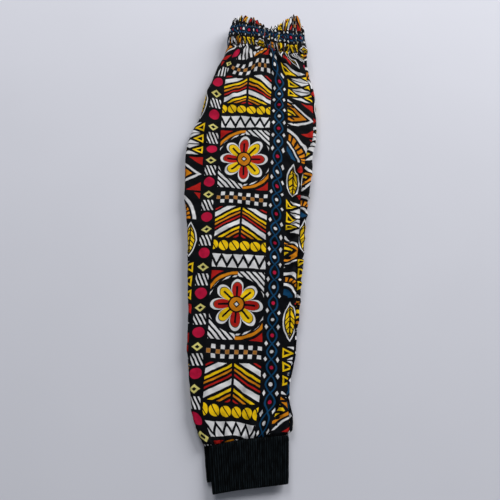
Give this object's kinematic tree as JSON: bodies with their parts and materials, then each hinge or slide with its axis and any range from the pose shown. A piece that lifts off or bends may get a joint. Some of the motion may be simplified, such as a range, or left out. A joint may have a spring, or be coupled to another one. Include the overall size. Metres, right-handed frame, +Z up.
{
  "type": "joggers",
  "caption": "Child's joggers in printed cotton, folded in half lengthwise and laid flat, with a gathered elastic waistband and rib-knit cuffs.",
  "frame": {"origin": "middle of the flat underside that the folded garment lies on", "axes": "+X across, from the crotch side to the outseam side; +Y along, from the cuffs to the waist; +Z up, out of the surface it lies on"},
  "size_m": [0.188, 0.6872, 0.0209],
  "materials": {
    "printed_cotton": "plain-weave cotton, matte with a faint sheen, printed all over in yellow, orange, red, blue and white on near-black",
    "rib_knit": "black cotton rib knit, matte"
  },
  "bodies": {
    "root": {"front_leg_panel": "printed_cotton", "back_leg_panel": "printed_cotton", "folded_leg_layers": "printed_cotton", "waistband": "printed_cotton", "folded_waistband_layers": "printed_cotton", "cuff_upper": "rib_knit", "cuff_under": "rib_knit"}
  },
  "joints": []
}
